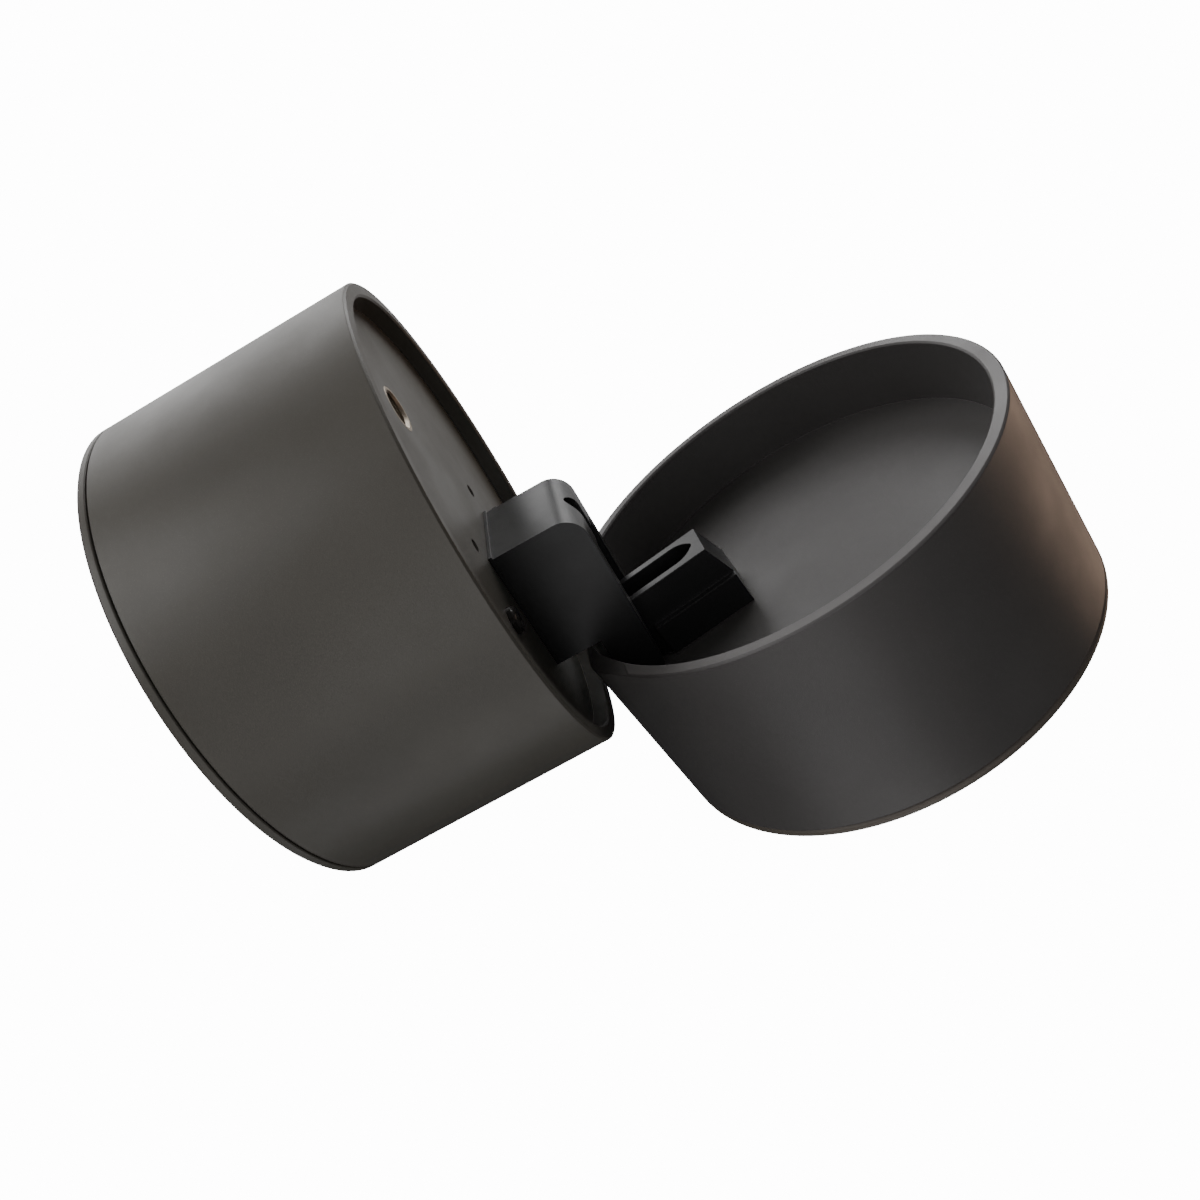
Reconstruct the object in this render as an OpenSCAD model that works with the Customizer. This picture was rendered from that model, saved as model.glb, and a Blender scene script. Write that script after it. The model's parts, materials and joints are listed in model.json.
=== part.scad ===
// Folding surface-mounted ceiling spotlight: two equal cans hinged mouth to mouth.
// The origin is the centre of the ceiling face of the mounting plate, with +Z up.
// +X points to the hinge side and the hinge pin lies along Y.

/* [Cans] */
// Outside diameter of both cans
can_d = 100; // [99:0.5:102]
// Wall thickness of both cans
wall = 3; // [2.8:0.1:3.2]
// Height of the ceiling base, mounting plate included
base_len = 48; // [47:0.5:52]
// Height of the lamp head, front bezel included
head_len = 54.5; // [54:0.5:58]
// Depth of the base's recess, which takes the hinge when the lamp is shut
base_recess = 15.2; // [15.1:0.1:15.6]
// Depth of the shallow recess in the back of the head
head_recess = 3.7; // [3.4:0.1:4]
// Gap between the two rims when the lamp is shut
rim_gap = 0.3; // [0.2:0.1:0.4]
// Thickness of the mounting plate and of the bezel's visible ring
end_ring = 2; // [1.8:0.1:2.4]
// Width of the fine groove behind each end ring
groove = 0.3; // [0.2:0.1:0.4]

/* [Hinge] */
// Distance of the hinge pin from the can axis
pivot_x = 40.2; // [40:0.1:40.4]
// Height of the hinge pin above the head's rim plane
pivot_h = 10.7; // [10.6:0.1:10.8]
// Radius of the knuckle round the pin
knuckle_r = 4.5; // [4.2:0.1:4.5]
// Diameter of the hinge pin
pin_d = 4; // [3.6:0.1:4.4]
// Radial clearance of every running fit
fit_gap = 0.05; // [0.03:0.01:0.08]
// Width of the hinge hood along the pin
hood_w = 24.6; // [24:0.2:26]
// Place of the hood's end wall
hood_x = 3.8; // [3.4:0.2:4.6]
// Radius of the hood's top corner
hood_r = 5.2; // [4:0.4:6]
// Width of the pocket between the hood's cheeks
pocket_w = 15.6; // [15.2:0.2:16]
// Width of the cable slot that runs from the pocket into the hood's top corner
hood_slot_w = 6; // [5:0.5:7]
// Width of the hinge post
post_w = 11; // [10.6:0.2:11]
// Place of the post's free side
post_x = 16.5; // [16:0.5:18]
// Width of the wire slot in the post
slot_w = 7; // [6.4:0.2:7.2]
// Angle from shut at which the lamp is drawn
rest_tilt = 83; // [0:1:90]

/* [Lamp] */
// Radius of the lens
lens_r = 31; // [30:0.5:32]
// Number of steps on the anti-glare baffle
baffle_steps = 6; // [4:1:8]
// Number of heat sink fins on each side of the middle
fin_pairs = 4; // [3:1:5]

/* [Ceiling plate] */
// Distance between the two ceiling screw holes
fixing_span = 70; // [60:1:72]
// Diameter of the ceiling screw holes
fixing_d = 4.5; // [4:0.1:5]
// Bore of the hollow nipple, where the supply wires come in
nipple_bore = 7; // [6.5:0.1:7.4]

/* [Hidden] */
$fn = 96;
eps = 0.01;
can_r = can_d / 2;
bore_r = can_r - wall;
pin_r = pin_d / 2;
// The base's own frame: z = 0 at its rim plane, rising to the ceiling
pivot_depth = pivot_h - rim_gap;
base_web = 2;
base_floor = base_recess + base_web;
plate_z = base_len - end_ring;
// The base's wall is cut back to this radius round the pin, so that it clears the head's rim
relief_r = pivot_depth - 0.2;
// The hood's throat keeps this radius round the pin free for the base's wall
throat_r = pivot_h + 0.2;
// The head's own frame: z = 0 at its rim plane, falling to the lens
head_web = 4;
head_floor = -head_recess;
head_back = head_floor - head_web;
foot_t = 0.8;
foot_lip = 0.5;
hood_top = pivot_h + knuckle_r;
hood_foot_x = 30.3;
cheek_y = pocket_w / 2;
// Closed end of the pocket, clear of the arc that the post's lower corner sweeps
pocket_x = pivot_x - norm([pivot_x - post_x, pivot_depth]) - 0.3;
// The post's foot is a little wider than the post, and its free side slants out to meet it
tier_w = 14.4;
tier_h = 7.4;
tier_x = [post_x - 2.2, post_x + 17.5];
slot_floor = base_recess - 2;
slot_x = post_x + 2.1;
// The slot's closed end is pointed: two arcs that meet slot_point before its full width
slot_point = 4.6;
slot_arc_r = (pow(slot_point, 2) + pow(slot_w / 2, 2)) / slot_w;
slot_full_x = slot_x + slot_point;
wire_hole_x = slot_x + 7;
wire_hole_r = 2.6;
// Swivel stack, counted down from the ceiling
nipple_r = 5;
bush_r = 6.5;
bush_flange = 0.4;
disc_t = 4;
disc_top = plate_z - bush_flange;
disc_low = disc_top - disc_t;
stop_ring_r = 20;
stop_pin_r = 1.5;
stop_w = 4;
washer_t = 0.8;
nut_t = 4;
// Driver in the base
driver = [26, 54, 21];
driver_at = [-37, -driver[1] / 2, base_floor];
driver_x = driver_at[0] + driver[0] / 2;
driver_screw_y = [-19, 19];
case_t = 1.5;
// Screws
post_screws_at = [for (x = [22, 31.5], s = [-1, 1]) [x, s * 5.5]];
hood_screws_at = [for (x = [9.5, 27], s = [-1, 1]) [x, s * (hood_w + pocket_w) / 4]];
sink_screws_at = [for (s = [-1, 1]) [11, s * 25]];
insert_at = [-27.5, -3];
insert_r = 4.7;
thread_r = 3.4;
thread_depth = 0.6;
tapped_at = [for (s = [-1, 1]) [-1.2, s * 14.6]];
tapped_r = 1.4;
// Heat sink and light engine, heights in the head's frame
sink_r = 43;
sink_face = head_back - 16.7;
sink_t = 4;
fin_top = head_back - 3;
fin_t = 1.8;
fin_pitch = 8.5;
board = 24;
pad_t = 0.5;
board_t = 1.5;
board_low = sink_face - pad_t - board_t;
emitter_r = 7;
holder_low = board_low - 3;
lens_top = holder_low - 14;
lens_t = 2.5;
lens_low = lens_top - lens_t;
bezel_top = -(head_len - end_ring);
mouth_r = can_r - 5.5;
// Reflector cup: radius from neck to mouth, and its height at a radius
cup_neck = 9;
cup_mouth = lens_r - 3;
cup_t = 1;
cup_steps = 12;
function cup_z(r) = holder_low - (holder_low - lens_top)
    * (pow(r, 2) - pow(cup_neck, 2)) / (pow(cup_mouth, 2) - pow(cup_neck, 2));

// ---- frames and shared shapes ----

// Base frame: the rim plane is z = 0 and the ceiling is up
module in_base() {
    translate([0, 0, -base_len]) children();
}

// Head frame: the rim plane is z = 0 and the lens is down, then swung open on the pin
module in_head() {
    translate([pivot_x, 0, pivot_depth - base_len])
        rotate([0, -rest_tilt, 0])
            translate([-pivot_x, 0, -pivot_h]) children();
}

// Cylinder along the hinge axis, from y0 to y1, through x and z
module y_cylinder(x, z, r, y0, y1) {
    translate([x, y1, z]) rotate([90, 0, 0]) cylinder(r = r, h = y1 - y0);
}

// Box between two corners
module box(low, high) {
    translate(low) cube([high[0] - low[0], high[1] - low[1], high[2] - low[2]]);
}

// Flat ring standing on z
module ring(r_out, r_in, z0, z1) {
    translate([0, 0, z0]) difference() {
        cylinder(r = r_out, h = z1 - z0);
        translate([0, 0, -1]) cylinder(r = r_in, h = z1 - z0 + 2);
    }
}

// Turned can: mouth at z = 0, open at both ends, with one web across it
module can(length, recess, web) {
    rim = 0.4;
    rotate_extrude() polygon([
        [0, -recess], [bore_r, -recess], [bore_r, -rim], [bore_r + rim, 0],
        [can_r - rim, 0], [can_r, -rim], [can_r, -length + 0.2], [can_r - 0.2, -length],
        [bore_r, -length], [bore_r, -recess - web], [0, -recess - web]]);
}

// Pan-head screw: head upwards on z = 0, shank down, cross recess in the head
module pan_screw(shank_r, length, head_r, head_h) {
    dome = 0.4 * head_h;
    difference() {
        union() {
            translate([0, 0, -length]) cylinder(r = shank_r, h = length + eps);
            rotate_extrude() polygon([
                [0, 0], [head_r, 0], [head_r, head_h - dome],
                [0.8 * head_r, head_h - 0.3 * dome], [0.45 * head_r, head_h], [0, head_h]]);
        }
        for (a = [0, 90]) rotate([0, 0, a])
            box([-0.55 * head_r, -0.16 * head_r, 0.45 * head_h],
                [0.55 * head_r, 0.16 * head_r, head_h + 1]);
    }
}

// ---- ceiling plate and swivel ----

module ceiling_plate() color([0.17, 0.17, 0.17]) in_base() difference() {
    round = 0.6;
    translate([0, 0, plate_z]) rotate_extrude() polygon([
        [nipple_r, 0], [can_r - round, 0], [can_r, round],
        [can_r, end_ring - round], [can_r - round, end_ring], [nipple_r, end_ring]]);
    for (s = [-1, 1]) translate([s * fixing_span / 2, 0, plate_z - 1])
        cylinder(d = fixing_d, h = end_ring + 2);
    translate([-stop_ring_r, 0, plate_z - 1]) cylinder(r = stop_pin_r, h = end_ring + 2);
}

module hollow_nipple() color([0.72, 0.6, 0.35]) in_base()
    ring(nipple_r, nipple_bore / 2, base_len - 14, base_len);

module wave_washer() color([0.7, 0.7, 0.72]) in_base()
    ring(9, nipple_r + 0.1, disc_low - washer_t - 0.1, disc_low - 0.1);

module swivel_nut() color([0.72, 0.6, 0.35]) in_base()
    translate([0, 0, disc_low - washer_t - 0.2 - nut_t]) difference() {
        cylinder(r = 8, h = nut_t, $fn = 6);
        translate([0, 0, -1]) cylinder(r = nipple_r, h = nut_t + 2);
    }

module stop_pin() color([0.7, 0.7, 0.72]) in_base()
    translate([-stop_ring_r, 0, disc_top - 2]) cylinder(r = stop_pin_r, h = base_len - disc_top + 2);

module swivel_bush() color([0.9, 0.9, 0.86]) in_base() {
    ring(12, nipple_r + fit_gap, disc_top, plate_z - fit_gap);
    ring(bush_r, nipple_r + fit_gap, disc_low, disc_top + eps);
}

// The annular groove leaves one bridge, which meets the stop pin at either end of the turn
module swivel_disc() color([0.55, 0.56, 0.57]) in_base() difference() {
    ring(bore_r, bush_r, disc_low, disc_top);
    difference() {
        ring(stop_ring_r + stop_pin_r + 0.3, stop_ring_r - stop_pin_r - 0.3, disc_top - 2.5, disc_top + 1);
        box([0, -stop_w / 2, disc_top - 3], [stop_ring_r + 5, stop_w / 2, disc_top + 2]);
    }
    for (s = [-1, 1]) translate([s * fixing_span / 2, 0, disc_low - 1])
        cylinder(r = 6, h = disc_t + 2);
}

// ---- base can ----

module base_shell() color([0.2, 0.19, 0.19]) in_base() difference() {
    mirror([0, 0, 1]) can(plate_z - groove, base_recess, base_web);
    // Relief of the rim beyond the pin, so that the head's rim can swing past
    difference() {
        box([pivot_x, -can_r, -1], [can_r + 5, can_r, pivot_depth]);
        y_cylinder(pivot_x, pivot_depth, relief_r, -can_r - 1, can_r + 1);
    }
    translate([wire_hole_x, 0, base_recess - 1]) cylinder(r = wire_hole_r, h = base_web + 2);
    for (p = post_screws_at) translate([p[0], p[1], base_recess - 1])
        cylinder(r = 1.4, h = base_web + 2);
    for (y = driver_screw_y) translate([driver_x, y, base_floor - 1.5]) cylinder(r = 1.25, h = 2);
}

module hinge_post() color([0.07, 0.07, 0.07]) in_base() difference() {
    union() {
        rotate([90, 0, 0]) linear_extrude(post_w, center = true) polygon([
            [post_x, 0], [pivot_x, 0], [pivot_x, base_recess],
            [tier_x[0], base_recess], [tier_x[0], base_recess - tier_h]]);
        box([tier_x[0], -tier_w / 2, base_recess - tier_h], [tier_x[1], tier_w / 2, base_recess]);
        y_cylinder(pivot_x, pivot_depth, knuckle_r, -post_w / 2, post_w / 2);
        box([pivot_x - eps, -post_w / 2, pivot_depth], [pivot_x + knuckle_r, post_w / 2, base_recess]);
    }
    // Wire slot, pointed at its closed end and open towards the hinge
    intersection_for (s = [-1, 1]) translate([slot_full_x, s * (slot_arc_r - slot_w / 2), -1])
        cylinder(r = slot_arc_r, h = slot_floor + 1);
    translate([slot_x + 1.2, 0, -1]) cylinder(r = 1.3, h = slot_floor + 1);
    box([slot_full_x, -slot_w / 2, -1], [pivot_x + 10, slot_w / 2, slot_floor]);
    y_cylinder(pivot_x, pivot_depth, pin_r + fit_gap, -post_w, post_w);
    translate([wire_hole_x, 0, slot_floor - 1]) cylinder(r = wire_hole_r, h = 5);
    for (p = post_screws_at) translate([p[0], p[1], base_recess - 5])
        cylinder(r = 1.25, h = 6);
}

module post_screws() color([0.75, 0.75, 0.76]) in_base()
    for (p = post_screws_at) translate([p[0], p[1], base_floor])
        pan_screw(1.25, base_web + 4.5, 2.3, 1.6);

module wire_grommet() color([0.12, 0.12, 0.12]) in_base() translate([wire_hole_x, 0, 0]) {
    ring(wire_hole_r, 1.6, slot_floor, base_floor);
    ring(3.4, 1.6, base_floor, base_floor + 1);
}

// ---- driver and wiring in the base ----

module driver_case() color([0.93, 0.93, 0.91]) in_base() difference() {
    translate(driver_at) difference() {
        cube([driver[0], driver[1], driver[2] - case_t]);
        translate([case_t, case_t, case_t])
            cube([driver[0] - 2 * case_t, driver[1] - 2 * case_t, driver[2]]);
    }
    for (y = driver_screw_y) translate([driver_x, y, base_floor - 1]) cylinder(r = 1.35, h = 4);
    // Wire holes in both end walls
    y_cylinder(driver_x, base_floor + driver[2] / 2, 2.6, -driver[1], driver[1]);
}

module driver_lid() color([0.9, 0.9, 0.88]) in_base()
    translate(driver_at) translate([0, 0, driver[2] - case_t]) cube([driver[0], driver[1], case_t]);

module driver_board() color([0.1, 0.35, 0.16]) in_base()
    translate(driver_at) translate([case_t + 0.3, case_t + 0.3, case_t + 3])
        cube([driver[0] - 2 * case_t - 0.6, driver[1] - 2 * case_t - 0.6, 1.6]);

module driver_transformer() color([0.8, 0.62, 0.15]) in_base()
    translate(driver_at) translate([5, 20, case_t + 4.6]) cube([15, 14, 11]);

module driver_capacitors() color([0.15, 0.2, 0.45]) in_base()
    translate(driver_at) for (c = [[8, 11, 4], [17, 11, 3], [12, 44, 4.5]])
        translate([c[0], c[1], case_t + 4.6]) cylinder(r = c[2], h = 11);

module driver_screws() color([0.75, 0.75, 0.76]) in_base()
    for (y = driver_screw_y) translate([driver_x, y, base_floor + case_t])
        pan_screw(1.25, case_t + 1.3, 2.4, 1.4);

module terminal_block() color([0.92, 0.92, 0.9]) in_base() difference() {
    box([-4, 22, base_floor], [20, 34, base_floor + 11]);
    for (x = [0, 8, 16]) {
        y_cylinder(x, base_floor + 4, 1.8, 21, 35);
        for (y = [25, 31]) translate([x, y, base_floor + 4]) cylinder(r = 1.6, h = 8);
    }
}

module terminal_screws() color([0.78, 0.68, 0.4]) in_base()
    for (x = [0, 8, 16], y = [25, 31]) translate([x, y, base_floor + 6]) difference() {
        cylinder(r = 1.6, h = 3.4);
        box([-2, -0.3, 2.4], [2, 0.3, 4]);
    }

module earth_screw() color([0.72, 0.6, 0.35]) in_base()
    translate([8, -30, base_floor + 4]) {
        pan_screw(2, 4, 3.6, 2.4);
        ring(4.2, 2, -4, -0.2);
    }

// ---- hinge between the bodies ----

module friction_washers() color([0.06, 0.06, 0.06]) in_base()
    for (s = [-1, 1]) translate([pivot_x, s * (post_w / 2 + 0.55), pivot_depth])
        rotate([90, 0, 0]) translate([0, 0, -0.55]) ring(3.8, pin_r + fit_gap, 0, 1.1);

module spring_washers() color([0.08, 0.08, 0.08]) in_head()
    for (s = [-1, 1]) translate([pivot_x, s * (cheek_y - 0.55), pivot_h])
        rotate([90, 0, 0]) translate([0, 0, -0.55]) ring(3.8, pin_r, 0, 1.1);

module hinge_pin() color([0.7, 0.7, 0.72]) in_head()
    y_cylinder(pivot_x, pivot_h, pin_r, 2 - hood_w / 2, hood_w / 2 - 1);

module pin_cap() color([0.07, 0.07, 0.07]) in_head()
    y_cylinder(pivot_x, pivot_h, 2.6, hood_w / 2 - 1, hood_w / 2);

// ---- lamp head ----

module head_shell() color([0.25, 0.25, 0.24]) in_head() difference() {
    can(head_len - end_ring - groove, head_recess, head_web);
    translate([insert_at[0], insert_at[1], head_back - 1]) cylinder(r = insert_r, h = head_web + 2);
    for (p = tapped_at) translate([p[0], p[1], head_back - 1]) cylinder(r = tapped_r, h = head_web + 2);
    for (p = concat(hood_screws_at, sink_screws_at)) translate([p[0], p[1], head_back - 1])
        cylinder(r = 1.6, h = head_web + 2);
}

module threaded_insert() color([0.62, 0.47, 0.28]) in_head()
    translate([insert_at[0], insert_at[1], 0]) rotate_extrude() polygon([
        [thread_r, head_back], [insert_r, head_back], [insert_r, head_floor],
        [thread_r + thread_depth, head_floor], [thread_r, head_floor - thread_depth]]);

module hood_foot_plate() color([0.3, 0.31, 0.3]) in_head() difference() {
    box([hood_x - foot_lip, -hood_w / 2, head_floor], [hood_foot_x, hood_w / 2, head_floor + foot_t]);
    for (p = hood_screws_at) translate([p[0], p[1], head_floor - 1]) cylinder(r = 1.6, h = 3);
}

module hinge_hood() color([0.1, 0.1, 0.1]) in_head() difference() {
    foot = head_floor + foot_t;
    union() {
        box([hood_x, -hood_w / 2, foot], [hood_foot_x, hood_w / 2, hood_top - hood_r]);
        box([hood_x + hood_r, -hood_w / 2, foot], [hood_foot_x, hood_w / 2, hood_top]);
        y_cylinder(hood_x + hood_r, hood_top - hood_r, hood_r, -hood_w / 2, hood_w / 2);
        box([hood_foot_x - 1, -hood_w / 2, pivot_h - knuckle_r], [pivot_x, hood_w / 2, hood_top]);
        y_cylinder(pivot_x, pivot_h, knuckle_r, -hood_w / 2, hood_w / 2);
    }
    // Throat under the arm, which lets the base's wall swing in
    intersection() {
        y_cylinder(pivot_x, pivot_h, throat_r, -hood_w, hood_w);
        box([0, -hood_w, -5], [pivot_x + 5, hood_w, pivot_h - knuckle_r]);
    }
    // Pocket for the post, and the narrower cable slot beyond it, round at its closed end
    box([pocket_x, -cheek_y, foot - 1], [pivot_x + 10, cheek_y, 30]);
    translate([hood_x + 1.2 + hood_slot_w / 2, 0, foot - 1]) cylinder(d = hood_slot_w, h = 30);
    box([hood_x + 1.2 + hood_slot_w / 2, -hood_slot_w / 2, foot - 1], [pocket_x + 1, hood_slot_w / 2, 30]);
    // Bore for the pin, blind in the near cheek and with a seat for its cap in the far one
    y_cylinder(pivot_x, pivot_h, pin_r, 2 - hood_w / 2, hood_w / 2 + 1);
    y_cylinder(pivot_x, pivot_h, 2.6, hood_w / 2 - 1, hood_w / 2 + 1);
    for (p = hood_screws_at) translate([p[0], p[1], foot - 1]) cylinder(r = 1.5, h = 8);
}

module hood_screws() color([0.75, 0.75, 0.76]) in_head()
    for (p = hood_screws_at) translate([p[0], p[1], head_back]) mirror([0, 0, 1])
        pan_screw(1.5, head_web + foot_t + 5, 2.8, 1.8);

module heat_sink_screws() color([0.05, 0.05, 0.05]) in_head()
    for (p = sink_screws_at) translate([p[0], p[1], head_floor])
        pan_screw(1.5, head_web + 8, 2.7, 1.5);

module heat_sink() color([0.62, 0.63, 0.64]) in_head() difference() {
    union() {
        translate([0, 0, sink_face]) cylinder(r = sink_r, h = sink_t);
        intersection() {
            translate([0, 0, sink_face + 1]) cylinder(r = sink_r, h = fin_top - sink_face - 1);
            for (i = [-fin_pairs:fin_pairs])
                translate([-sink_r, i * fin_pitch - fin_t / 2, sink_face])
                    cube([2 * sink_r, fin_t, fin_top - sink_face]);
        }
        box([-21, -9, sink_face + 1], [-4, 9, head_back]);
        for (p = sink_screws_at) translate([p[0], p[1], sink_face + 1])
            cylinder(r = 4, h = head_back - sink_face - 1);
    }
    for (p = sink_screws_at) translate([p[0], p[1], head_back - 9]) cylinder(r = 1.5, h = 10);
    for (s = [-1, 1]) translate([0, s * 13.5, sink_face - 1]) cylinder(r = 1.25, h = 4);
    translate([28, 0, sink_face - 1]) cylinder(r = 3, h = 30);
}

module thermal_pad() color([0.55, 0.6, 0.7]) in_head()
    box([-board / 2, -board / 2, sink_face - pad_t], [board / 2, board / 2, sink_face]);

module led_board() color([0.95, 0.95, 0.93]) in_head()
    box([-board / 2, -board / 2, board_low], [board / 2, board / 2, board_low + board_t]);

module led_emitter() color([0.95, 0.8, 0.25]) in_head()
    translate([0, 0, board_low - 0.8]) cylinder(r = emitter_r, h = 0.8);

module led_holder() color([0.93, 0.93, 0.92]) in_head() difference() {
    translate([0, 0, holder_low]) cylinder(r = 18, h = board_low - holder_low);
    translate([0, 0, holder_low - 1]) cylinder(r = 8.5, h = 6);
    for (s = [-1, 1]) translate([0, s * 13.5, holder_low - 1]) cylinder(r = 1.3, h = 6);
}

module led_screws() color([0.75, 0.75, 0.76]) in_head()
    for (s = [-1, 1]) translate([0, s * 13.5, holder_low]) mirror([0, 0, 1])
        pan_screw(1.25, board_low - holder_low - eps, 2.2, 1.2);

// Reflector: a thin parabolic cup, narrow at the emitter and wide at the lens
module reflector() color([0.85, 0.85, 0.86]) in_head() {
    radii = [for (i = [0:cup_steps]) cup_neck + (cup_mouth - cup_neck) * i / cup_steps];
    inner = [for (r = radii) [r, cup_z(r)]];
    outer = [for (i = [cup_steps:-1:0]) [radii[i] + cup_t, cup_z(radii[i])]];
    difference() {
        rotate_extrude() polygon(concat(inner, [[lens_r, lens_top], [lens_r, lens_top + 1]],
            [for (p = outer) if (p[1] > lens_top + 1.01) p]));
        for (s = [-1, 1]) translate([0, s * 13.5, holder_low - 4]) cylinder(r = 2.6, h = 5);
    }
}

module lens() color([0.85, 0.9, 0.93, 0.5]) in_head()
    translate([0, 0, lens_low]) cylinder(r = lens_r, h = lens_t);

module lens_gasket() color([0.15, 0.15, 0.15]) in_head()
    ring(lens_r + 1, lens_r, lens_low, lens_top + 1);

// Black cone between the lens and the bezel, with a small step at each turn of height
module anti_glare_baffle() color([0.04, 0.04, 0.04]) in_head() {
    seat_r = lens_r - 1.5;
    rise = (lens_low - bezel_top) / baffle_steps;
    run = (mouth_r - seat_r) / baffle_steps;
    steps = [for (i = [0:baffle_steps - 1], k = [0, 1])
        [seat_r + run * (i + k), lens_low - rise * i - (k == 0 ? 0 : 0.25 * rise)]];
    rotate_extrude() polygon(concat(steps, [
        [mouth_r, bezel_top], [bore_r, bezel_top], [bore_r, bezel_top + 2],
        [mouth_r + 1.5, bezel_top + 2], [lens_r + 2.6, lens_low + 0.5], [lens_r + 2.6, lens_top + 1],
        [lens_r + 1, lens_top + 1], [lens_r + 1, lens_low]]));
}

module front_bezel() color([0.19, 0.19, 0.18]) in_head() {
    round = 0.6;
    rotate_extrude() polygon([
        [mouth_r, bezel_top], [can_r - 0.2, bezel_top], [can_r, bezel_top - 0.2],
        [can_r, -head_len + round], [can_r - round, -head_len],
        [mouth_r + round, -head_len], [mouth_r, -head_len + round]]);
}

ceiling_plate();
hollow_nipple();
wave_washer();
swivel_nut();
stop_pin();
swivel_bush();
swivel_disc();
base_shell();
hinge_post();
post_screws();
wire_grommet();
driver_case();
driver_lid();
driver_board();
driver_transformer();
driver_capacitors();
driver_screws();
terminal_block();
terminal_screws();
earth_screw();
friction_washers();
head_shell();
hinge_hood();
hood_foot_plate();
hood_screws();
hinge_pin();
pin_cap();
spring_washers();
threaded_insert();
heat_sink();
heat_sink_screws();
thermal_pad();
led_board();
led_emitter();
led_holder();
led_screws();
reflector();
lens();
lens_gasket();
anti_glare_baffle();
front_bezel();
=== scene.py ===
"""Looks for the folding ceiling spotlight: materials, fine pieces, stage, light and camera.

Everything is in metres in the row frame: origin on the ceiling, +Z up, +X to the hinge side.
"""

import json
import math

import bmesh
import bpy
from mathutils import Matrix, Vector


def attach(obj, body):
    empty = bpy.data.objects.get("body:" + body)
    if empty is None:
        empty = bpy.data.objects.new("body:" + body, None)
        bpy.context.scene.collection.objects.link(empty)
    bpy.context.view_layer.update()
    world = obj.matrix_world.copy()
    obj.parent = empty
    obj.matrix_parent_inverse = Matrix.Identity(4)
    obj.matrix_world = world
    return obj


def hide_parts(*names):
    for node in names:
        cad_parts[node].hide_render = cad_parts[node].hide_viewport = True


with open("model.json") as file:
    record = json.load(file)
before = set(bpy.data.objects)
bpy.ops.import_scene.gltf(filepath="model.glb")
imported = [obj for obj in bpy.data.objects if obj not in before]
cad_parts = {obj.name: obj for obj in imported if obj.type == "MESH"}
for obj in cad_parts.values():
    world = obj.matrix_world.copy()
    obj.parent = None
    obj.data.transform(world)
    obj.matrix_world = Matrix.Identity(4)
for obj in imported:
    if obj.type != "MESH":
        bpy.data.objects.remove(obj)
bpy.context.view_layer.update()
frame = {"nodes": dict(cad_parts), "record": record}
NODES = frame["nodes"]
MM = 0.001


# ---------------------------------------------------------------- camera

def aim(obj, place, forward, up_hint):
    """Put obj at place, looking along forward, with up_hint upwards in its picture."""
    z = -Vector(forward).normalized()
    x = Vector(up_hint).cross(z).normalized()
    y = z.cross(x)
    obj.matrix_world = Matrix((
        (x.x, y.x, z.x, place[0]),
        (x.y, y.y, z.y, place[1]),
        (x.z, y.z, z.z, place[2]),
        (0, 0, 0, 1)))


CAM_PLACE = Vector((0.00598, -0.19759, -0.14546))
CAM_FORWARD = Vector((0.1551, 0.8887, 0.4315))
CAM_UP = Vector((-0.5694, 0.4374, -0.6961))
CAM_RIGHT = CAM_FORWARD.cross(CAM_UP)

cam_data = bpy.data.cameras.new("camera")
cam_data.lens = 32.05
cam_data.sensor_width = 36
cam_data.clip_start = 0.01
cam_data.clip_end = 50
camera = bpy.data.objects.new("camera", cam_data)
bpy.context.scene.collection.objects.link(camera)
aim(camera, CAM_PLACE, CAM_FORWARD, CAM_UP)
bpy.context.scene.camera = camera


# ---------------------------------------------------------------- materials

class Graph:
    """Small helper that builds one node material."""

    def __init__(self, name):
        self.material = bpy.data.materials.new(name)
        self.material.use_nodes = True
        self.tree = self.material.node_tree
        self.shader = self.tree.nodes["Principled BSDF"]
        coord = self.tree.nodes.new("ShaderNodeTexCoord")
        self.place = coord.outputs["Object"]

    def node(self, kind, **values):
        made = self.tree.nodes.new(kind)
        for key, value in values.items():
            if key in made.inputs:
                made.inputs[key].default_value = value
            else:
                setattr(made, key, value)
        return made

    def link(self, a, b):
        self.tree.links.new(a, b)

    def noise(self, scale, detail=3.0, roughness=0.5):
        """Noise over the object's own coordinates, with scale in features per metre."""
        made = self.node("ShaderNodeTexNoise", Scale=scale, Detail=detail, Roughness=roughness)
        self.link(self.place, made.inputs["Vector"])
        return made.outputs["Fac"]

    def ramp(self, factor, low, high, start=0.35, end=0.65):
        """Map a factor to a number between low and high."""
        made = self.node("ShaderNodeMapRange")
        made.inputs["From Min"].default_value = start
        made.inputs["From Max"].default_value = end
        made.inputs["To Min"].default_value = low
        made.inputs["To Max"].default_value = high
        self.link(factor, made.inputs["Value"])
        return made.outputs["Result"]

    def mix(self, factor, a, b):
        """Mix two colours by a factor; each is a colour or a socket."""
        made = self.node("ShaderNodeMix", data_type="RGBA")
        self.link(factor, made.inputs[0])
        for socket, value in ((made.inputs[6], a), (made.inputs[7], b)):
            if isinstance(value, bpy.types.NodeSocket):
                self.link(value, socket)
            else:
                socket.default_value = (*value, 1)
        return made.outputs[2]

    def bump(self, height, distance, strength=1.0, under=None):
        """Add a bump layer; distance is in metres."""
        made = self.node("ShaderNodeBump", Distance=distance, Strength=strength)
        self.link(height, made.inputs["Height"])
        if under:
            self.link(under, made.inputs["Normal"])
        return made.outputs["Normal"]

    def set(self, **values):
        for key, value in values.items():
            socket = self.shader.inputs[key.replace("_", " ")]
            if isinstance(value, bpy.types.NodeSocket):
                self.link(value, socket)
            elif isinstance(value, tuple) and len(value) == 3:
                socket.default_value = (*value, 1)
            else:
                socket.default_value = value


def shade(colour, factor):
    """The same colour, lighter or darker."""
    return tuple(min(1.0, c * factor) for c in colour)


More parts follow.
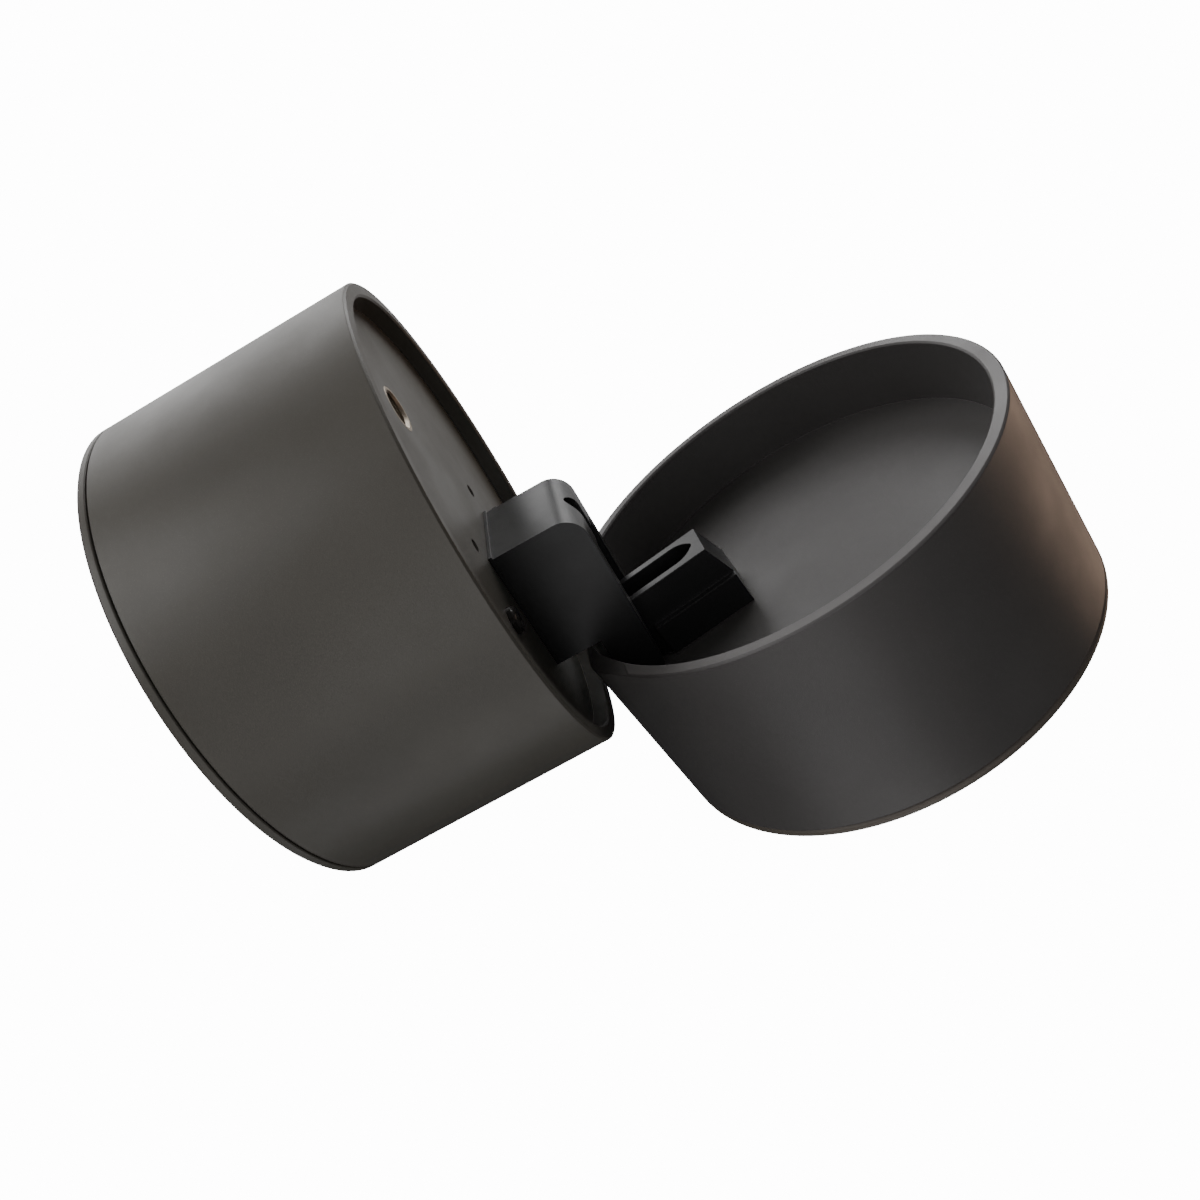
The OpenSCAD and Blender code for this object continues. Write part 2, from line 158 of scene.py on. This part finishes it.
def powder_coat(name, colour, rough=0.5, grain=1.0, rim=None):
    """Fine satin powder coat: tiny orange peel, finer grain, faint cloudiness in colour and gloss.

    rim is the height of a turned rim, in metres; from that height to 0.3 mm above it the colour is painted
    lighter, a painted highlight on the rim.
    """
    g = Graph(name)
    cloud = g.noise(22, detail=4)
    speck = g.noise(5200, detail=2, roughness=0.6)
    colour_a = g.mix(g.ramp(cloud, 0.0, 1.0), shade(colour, 0.93), shade(colour, 1.07))
    colour_b = g.mix(g.ramp(speck, 0.0, 0.35, 0.55, 0.8), colour_a, shade(colour, 1.7))
    if rim is not None:
        axes = g.node("ShaderNodeSeparateXYZ")
        g.link(g.place, axes.inputs[0])
        # Painted highlight: a band at the rim plane is coloured lighter to stand for the light the rim
        # catches
        rim_highlight_mask = g.ramp(axes.outputs["Z"], 1.0, 0.0, rim, rim + 0.3 * MM)
        colour_b = g.mix(rim_highlight_mask, colour_b, shade(colour, 1.4))
    peel = g.bump(g.noise(900, detail=2), 0.00002 * grain, 0.35)
    fine = g.bump(speck, 0.00003 * grain, 0.5, under=peel)
    g.set(Base_Color=colour_b, Normal=fine,
          Roughness=g.ramp(g.noise(60, detail=5), rough - 0.04, rough + 0.05))
    return g.material


def metal(name, colour, rough=0.3, spots=0.0):
    """Bare metal with fine machining or casting marks, and dark spots where it is soiled."""
    g = Graph(name)
    marks = g.noise(900, detail=5, roughness=0.65)
    cloud = g.noise(90, detail=4)
    tone = g.mix(g.ramp(cloud, 0.0, 1.0), shade(colour, 0.86), shade(colour, 1.06))
    if spots:
        tone = g.mix(g.ramp(g.noise(420, detail=6), 0.0, spots, 0.5, 0.75), tone, shade(colour, 0.4))
    g.set(Base_Color=tone, Metallic=1.0, Normal=g.bump(marks, 0.00003, 0.5),
          Roughness=g.ramp(marks, rough - 0.07, rough + 0.1))
    return g.material


def moulding(name, colour, rough=0.45, spread=0.05, subsurface=0.0):
    """Moulded plastic or rubber with a fine spark-eroded texture; spread is how much its colour varies."""
    g = Graph(name)
    grain = g.noise(2600, detail=3)
    cloud = g.noise(45, detail=3)
    g.set(Base_Color=g.mix(g.ramp(cloud, 0.0, 1.0), shade(colour, 1 - spread), shade(colour, 1 + spread)),
          Roughness=g.ramp(grain, rough - 0.05, rough + 0.06), Normal=g.bump(grain, 0.00002, 0.6))
    if subsurface:
        g.set(Subsurface_Weight=subsurface, Subsurface_Scale=0.002)
    return g.material


def frosted_glass(name):
    """Clear moulded lens with a fine pebbled face, so that the reflector shows through it softly."""
    g = Graph(name)
    pebble = g.node("ShaderNodeTexVoronoi", Scale=900.0)
    g.link(g.place, pebble.inputs["Vector"])
    g.set(Base_Color=g.mix(g.noise(40, detail=3), (0.9, 0.93, 0.94), (0.95, 0.97, 0.97)),
          Transmission_Weight=1.0, IOR=1.49,
          Roughness=g.ramp(g.noise(300, detail=3), 0.12, 0.2),
          Normal=g.bump(pebble.outputs["Distance"], 0.0002, 0.5))
    return g.material


# Height of the base can's rim, in metres, where its coat carries a painted highlight
BASE_RIM = -0.048

MATERIALS = {
    "head_graphite": powder_coat("head_graphite", (0.088, 0.081, 0.069), rough=0.42),
    "base_graphite": powder_coat("base_graphite", (0.083, 0.078, 0.077), rough=0.42, rim=BASE_RIM),
    "plate_graphite": powder_coat("plate_graphite", (0.115, 0.098, 0.083), rough=0.45),
    "bezel_graphite": powder_coat("bezel_graphite", (0.085, 0.079, 0.067), rough=0.42),
    "hinge_black": powder_coat("hinge_black", (0.021, 0.021, 0.022), rough=0.36, grain=0.35),
    "foot_plate_black": powder_coat("foot_plate_black", (0.016, 0.016, 0.016), rough=0.35, grain=0.3),
    "washer_black": moulding("washer_black", (0.02, 0.02, 0.02), rough=0.5),
    "screw_black": powder_coat("screw_black", (0.028, 0.026, 0.024), rough=0.2, grain=0.3),
    "baffle_black": moulding("baffle_black", (0.012, 0.012, 0.012), rough=0.6),
    "steel": metal("steel", (0.62, 0.62, 0.63), rough=0.3),
    "brass": metal("brass", (0.72, 0.52, 0.24), rough=0.28),
    "insert_metal": metal("insert_metal", (0.5, 0.44, 0.36), rough=0.42, spots=0.4),
    "bare_aluminium": metal("bare_aluminium", (0.66, 0.67, 0.68), rough=0.38),
    "reflector_metal": metal("reflector_metal", (0.9, 0.9, 0.91), rough=0.12),
    "nylon": moulding("nylon", (0.8, 0.77, 0.68), rough=0.5, subsurface=0.1),
    "driver_plastic": moulding("driver_plastic", (0.82, 0.82, 0.79), rough=0.5),
    "terminal_plastic": moulding("terminal_plastic", (0.84, 0.84, 0.8), rough=0.45, subsurface=0.1),
    "circuit_board": moulding("circuit_board", (0.02, 0.11, 0.04), rough=0.3, spread=0.2),
    "transformer_tape": moulding("transformer_tape", (0.72, 0.5, 0.06), rough=0.25, spread=0.1),
    "capacitor_sleeve": moulding("capacitor_sleeve", (0.02, 0.03, 0.14), rough=0.28, spread=0.1),
    "rubber_black": moulding("rubber_black", (0.02, 0.02, 0.02), rough=0.7),
    "thermal_pad": moulding("thermal_pad", (0.3, 0.36, 0.5), rough=0.75, spread=0.12),
    "led_white": moulding("led_white", (0.86, 0.86, 0.84), rough=0.35),
    "phosphor": moulding("phosphor", (0.92, 0.66, 0.08), rough=0.3, subsurface=0.2),
    "lens_frosted": frosted_glass("lens_frosted"),
}

slot_of = {s["node"]: s["material_slot"] for s in frame["record"]["subparts"]}
for name, node in NODES.items():
    node.data.materials.clear()
    node.data.materials.append(MATERIALS[slot_of[name]])


# ---------------------------------------------------------------- finer pieces

body_of = {name: body for body, names in frame["record"]["behaviour"]["bodies"].items() for name in names}

# From the head's own frame, in millimetres from its rim plane, to the row frame in metres
PIN_X, PIN_DROP, PIN_DEPTH, REST_TILT = 40.2, 37.6, 10.7, 83
HEAD = (Matrix.Scale(MM, 4) @ Matrix.Translation((PIN_X, 0, -PIN_DROP))
        @ Matrix.Rotation(math.radians(-REST_TILT), 4, "Y") @ Matrix.Translation((-PIN_X, 0, -PIN_DEPTH)))
INSERT_AT = Vector((-27.5, -3.0, 0.0))


def place_fine(obj, name):
    """Let a finer piece stand for a CAD node: same body, same material slot."""
    bpy.context.scene.collection.objects.link(obj)
    obj.data.materials.clear()
    obj.data.materials.append(MATERIALS[slot_of[name]])
    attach(obj, body_of[name])
    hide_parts(name)


def smooth(mesh, crease=35):
    """Smooth shading, broken at edges sharper than the crease angle, with large faces kept flat."""
    mesh.polygons.foreach_set("use_smooth", [True] * len(mesh.polygons))
    mesh.set_sharp_from_angle(angle=math.radians(crease))
    sharp = mesh.attributes.get("sharp_edge")
    edge_of = {tuple(sorted(e.vertices)): e.index for e in mesh.edges}
    around = {}
    for face in mesh.polygons:
        for corner in face.loop_indices:
            around.setdefault(mesh.loops[corner].vertex_index, []).append((face, corner))
    normals = [None] * len(mesh.loops)
    for vertex, corners in around.items():
        for group in smooth_groups(vertex, corners, sharp, edge_of):
            total = Vector((0, 0, 0))
            for face, _ in group:
                total += face.normal * face.area
            for face, corner in group:
                normals[corner] = total.normalized() if total.length else face.normal.copy()
    mesh.normals_split_custom_set(normals)


def smooth_groups(vertex, corners, sharp, edge_of):
    """The faces round a vertex, split into groups that no sharp edge parts."""
    sides = {}
    for face, _ in corners:
        for key in face.edge_keys:
            if vertex in key:
                index = edge_of[tuple(sorted(key))]
                if sharp is None or not sharp.data[index].value:
                    sides.setdefault(index, []).append(face.index)
    group_of = {face.index: face.index for face, _ in corners}
    for faces in sides.values():
        for other in faces[1:]:
            old, new = group_of[other], group_of[faces[0]]
            group_of = {k: new if v == old else v for k, v in group_of.items()}
    groups = {}
    for face, corner in corners:
        groups.setdefault(group_of[face.index], []).append((face, corner))
    return groups.values()


def rounded(name, width, crease=35, segments=3):
    """The node's own shape with every sharp edge rounded by width, in millimetres."""
    source = NODES[name].data
    bm = bmesh.new()
    bm.from_mesh(source)
    bmesh.ops.remove_doubles(bm, verts=bm.verts, dist=1e-6)
    bmesh.ops.dissolve_limit(bm, angle_limit=math.radians(0.3), verts=bm.verts, edges=bm.edges)
    sharp = [e for e in bm.edges if len(e.link_faces) == 2 and e.calc_face_angle(0) > math.radians(crease)]
    bmesh.ops.bevel(bm, geom=sharp, offset=width * MM, segments=segments, profile=0.5,
                    affect="EDGES", clamp_overlap=True, harden_normals=False)
    mesh = bpy.data.meshes.new(name + "_fine")
    bm.to_mesh(mesh)
    bm.free()
    smooth(mesh)
    place_fine(bpy.data.objects.new(name + "_fine", mesh), name)


def grid_faces(rows, columns):
    """Quads of a grid of points that closes on itself sideways; rows are stacked one after another."""
    return [(r * columns + c, r * columns + (c + 1) % columns,
             (r + 1) * columns + (c + 1) % columns, (r + 1) * columns + c)
            for r in range(rows - 1) for c in range(columns)]


def turned(profile, columns):
    """Points and quads of a closed profile turned round Z; a radius may be a function of the angle."""
    points = []
    for radius, height in profile:
        for c in range(columns):
            angle = 2 * math.pi * c / columns
            r = radius(angle) if callable(radius) else radius
            points.append((r * math.cos(angle), r * math.sin(angle), height))
    return points, grid_faces(len(profile), columns)


def threaded_insert():
    """The insert with its real helical thread, in the head's own frame in millimetres."""
    top, length, minor, depth, outer, pitch = -3.7, 4.0, 3.4, 0.6, 4.7, 1.25
    chamfer = 0.1

    def thread(height):
        def radius(angle):
            phase = (height / pitch - angle / (2 * math.pi)) % 1.0
            ridge = min(1.0, max(0.0, 2.6 * abs(phase - 0.5) - 0.15))
            countersink = minor + depth - max(0.0, top - height)
            return max(minor + depth * ridge, countersink)
        return radius

    rows = 64
    heights = [top - length + length * k / rows for k in range(rows + 1)]
    profile = [(outer, heights[0] + chamfer), (outer - chamfer, heights[0])]
    profile += [(thread(z), z) for z in heights]
    profile += [(outer - chamfer, top), (outer, top - chamfer), (outer, heights[0] + chamfer)]
    points, faces = turned(profile, 128)
    mesh = bpy.data.meshes.new("threaded_insert_fine")
    mesh.from_pydata([HEAD @ (Vector(p) + INSERT_AT) for p in points], [], faces)
    mesh.validate()
    bm = bmesh.new()
    bm.from_mesh(mesh)
    bmesh.ops.remove_doubles(bm, verts=bm.verts, dist=1e-7)
    bmesh.ops.recalc_face_normals(bm, faces=bm.faces)
    bm.to_mesh(mesh)
    bm.free()
    smooth(mesh, crease=30)
    place_fine(bpy.data.objects.new("threaded_insert_fine", mesh), "threaded_insert")


# How far each piece's sharp edges are rounded, in millimetres
ROUNDING = {
    "hinge_hood": 0.35,
    "hinge_post": 0.3,
    "hood_foot_plate": 0.15,
    "base_shell": 0.15,
    "head_shell": 0.08,
    "heat_sink_screws": 0.2,
    "front_bezel": 0.08,
    "ceiling_plate": 0.2,
    "anti_glare_baffle": 0.1,
    "driver_case": 0.4,
    "driver_lid": 0.2,
    "terminal_block": 0.25,
}
for name, width in ROUNDING.items():
    rounded(name, width)
threaded_insert()


# ---------------------------------------------------------------- stage and light

def seen_only(tree, seen, lighting):
    """Number that is one value to the camera and another to every other ray; for the stage only."""
    path = tree.nodes.new("ShaderNodeLightPath")
    pick = tree.nodes.new("ShaderNodeMapRange")
    pick.inputs["To Min"].default_value = lighting
    pick.inputs["To Max"].default_value = seen
    tree.links.new(path.outputs["Is Camera Ray"], pick.inputs["Value"])
    return pick.outputs["Result"]


def make_floor():
    """Plain pale floor well under the lamp."""
    level = -0.62
    half = 8.0
    mesh = bpy.data.meshes.new("floor")
    corners = [(x * half, y * half, level) for x, y in ((-1, -1), (1, -1), (1, 1), (-1, 1))]
    mesh.from_pydata(corners, [], [(0, 1, 2, 3)])
    floor = bpy.data.objects.new("floor", mesh)
    bpy.context.scene.collection.objects.link(floor)
    g = Graph("floor_paint")
    g.set(Base_Color=g.mix(g.noise(3, detail=2), (0.3, 0.3, 0.3), (0.32, 0.32, 0.32)), Roughness=0.9,
          Emission_Color=(1.0, 1.0, 1.0), Emission_Strength=seen_only(g.tree, WHITE, AMBIENT))
    mesh.materials.append(g.material)


def make_world():
    """White surroundings to the eye, with very little light of their own."""
    world = bpy.data.worlds.new("studio")
    bpy.context.scene.world = world
    world.use_nodes = True
    background = world.node_tree.nodes["Background"]
    background.inputs["Color"].default_value = (1, 1, 1, 1)
    world.node_tree.links.new(seen_only(world.node_tree, WHITE, AMBIENT), background.inputs["Strength"])


def softbox(name, clock, behind, power, colour=(1, 1, 1)):
    """Square area light that faces the lamp, seen by its light alone.

    clock is in degrees round from the picture's top, and behind in degrees from the camera's side.
    """
    a = math.radians(clock)
    b = math.radians(behind)
    sideways = CAM_RIGHT * math.sin(a) + CAM_UP * math.cos(a)
    away = sideways * math.sin(b) - CAM_FORWARD * math.cos(b)
    middle = CAM_PLACE + CAM_FORWARD * LAMP_AHEAD
    data = bpy.data.lights.new(name, "AREA")
    data.shape = "SQUARE"
    data.size = SOFTBOX_SIZE
    data.energy = power
    data.color = colour
    light = bpy.data.objects.new(name, data)
    light.visible_camera = False
    bpy.context.scene.collection.objects.link(light)
    aim(light, middle + away * SOFTBOX_AWAY, -away, CAM_UP)


# Strength of the surroundings: as the camera sees them, and as they light the lamp
WHITE = 14.0
AMBIENT = 0.03
# Metres from the camera to the lamp's middle, and from there to each softbox
LAMP_AHEAD = 0.22
SOFTBOX_AWAY = 0.6
SOFTBOX_SIZE = 0.4

make_floor()
make_world()
softbox("key", 315, 125, 0.92)
softbox("key_side", 318, 95, 0.6)
softbox("top_back", 8, 112, 1.6)
softbox("top_front", 0, 45, 0.13)
softbox("left_front", 280, 60, 1.7)
softbox("front", 180, 10, 0.5)
softbox("low_front", 175, 45, 0.55)
softbox("low", 165, 90, 0.45)
softbox("warm", 68, 112, 0.62, (1.0, 0.7, 0.52))
softbox("backdrop", 15, 155, 0.29)
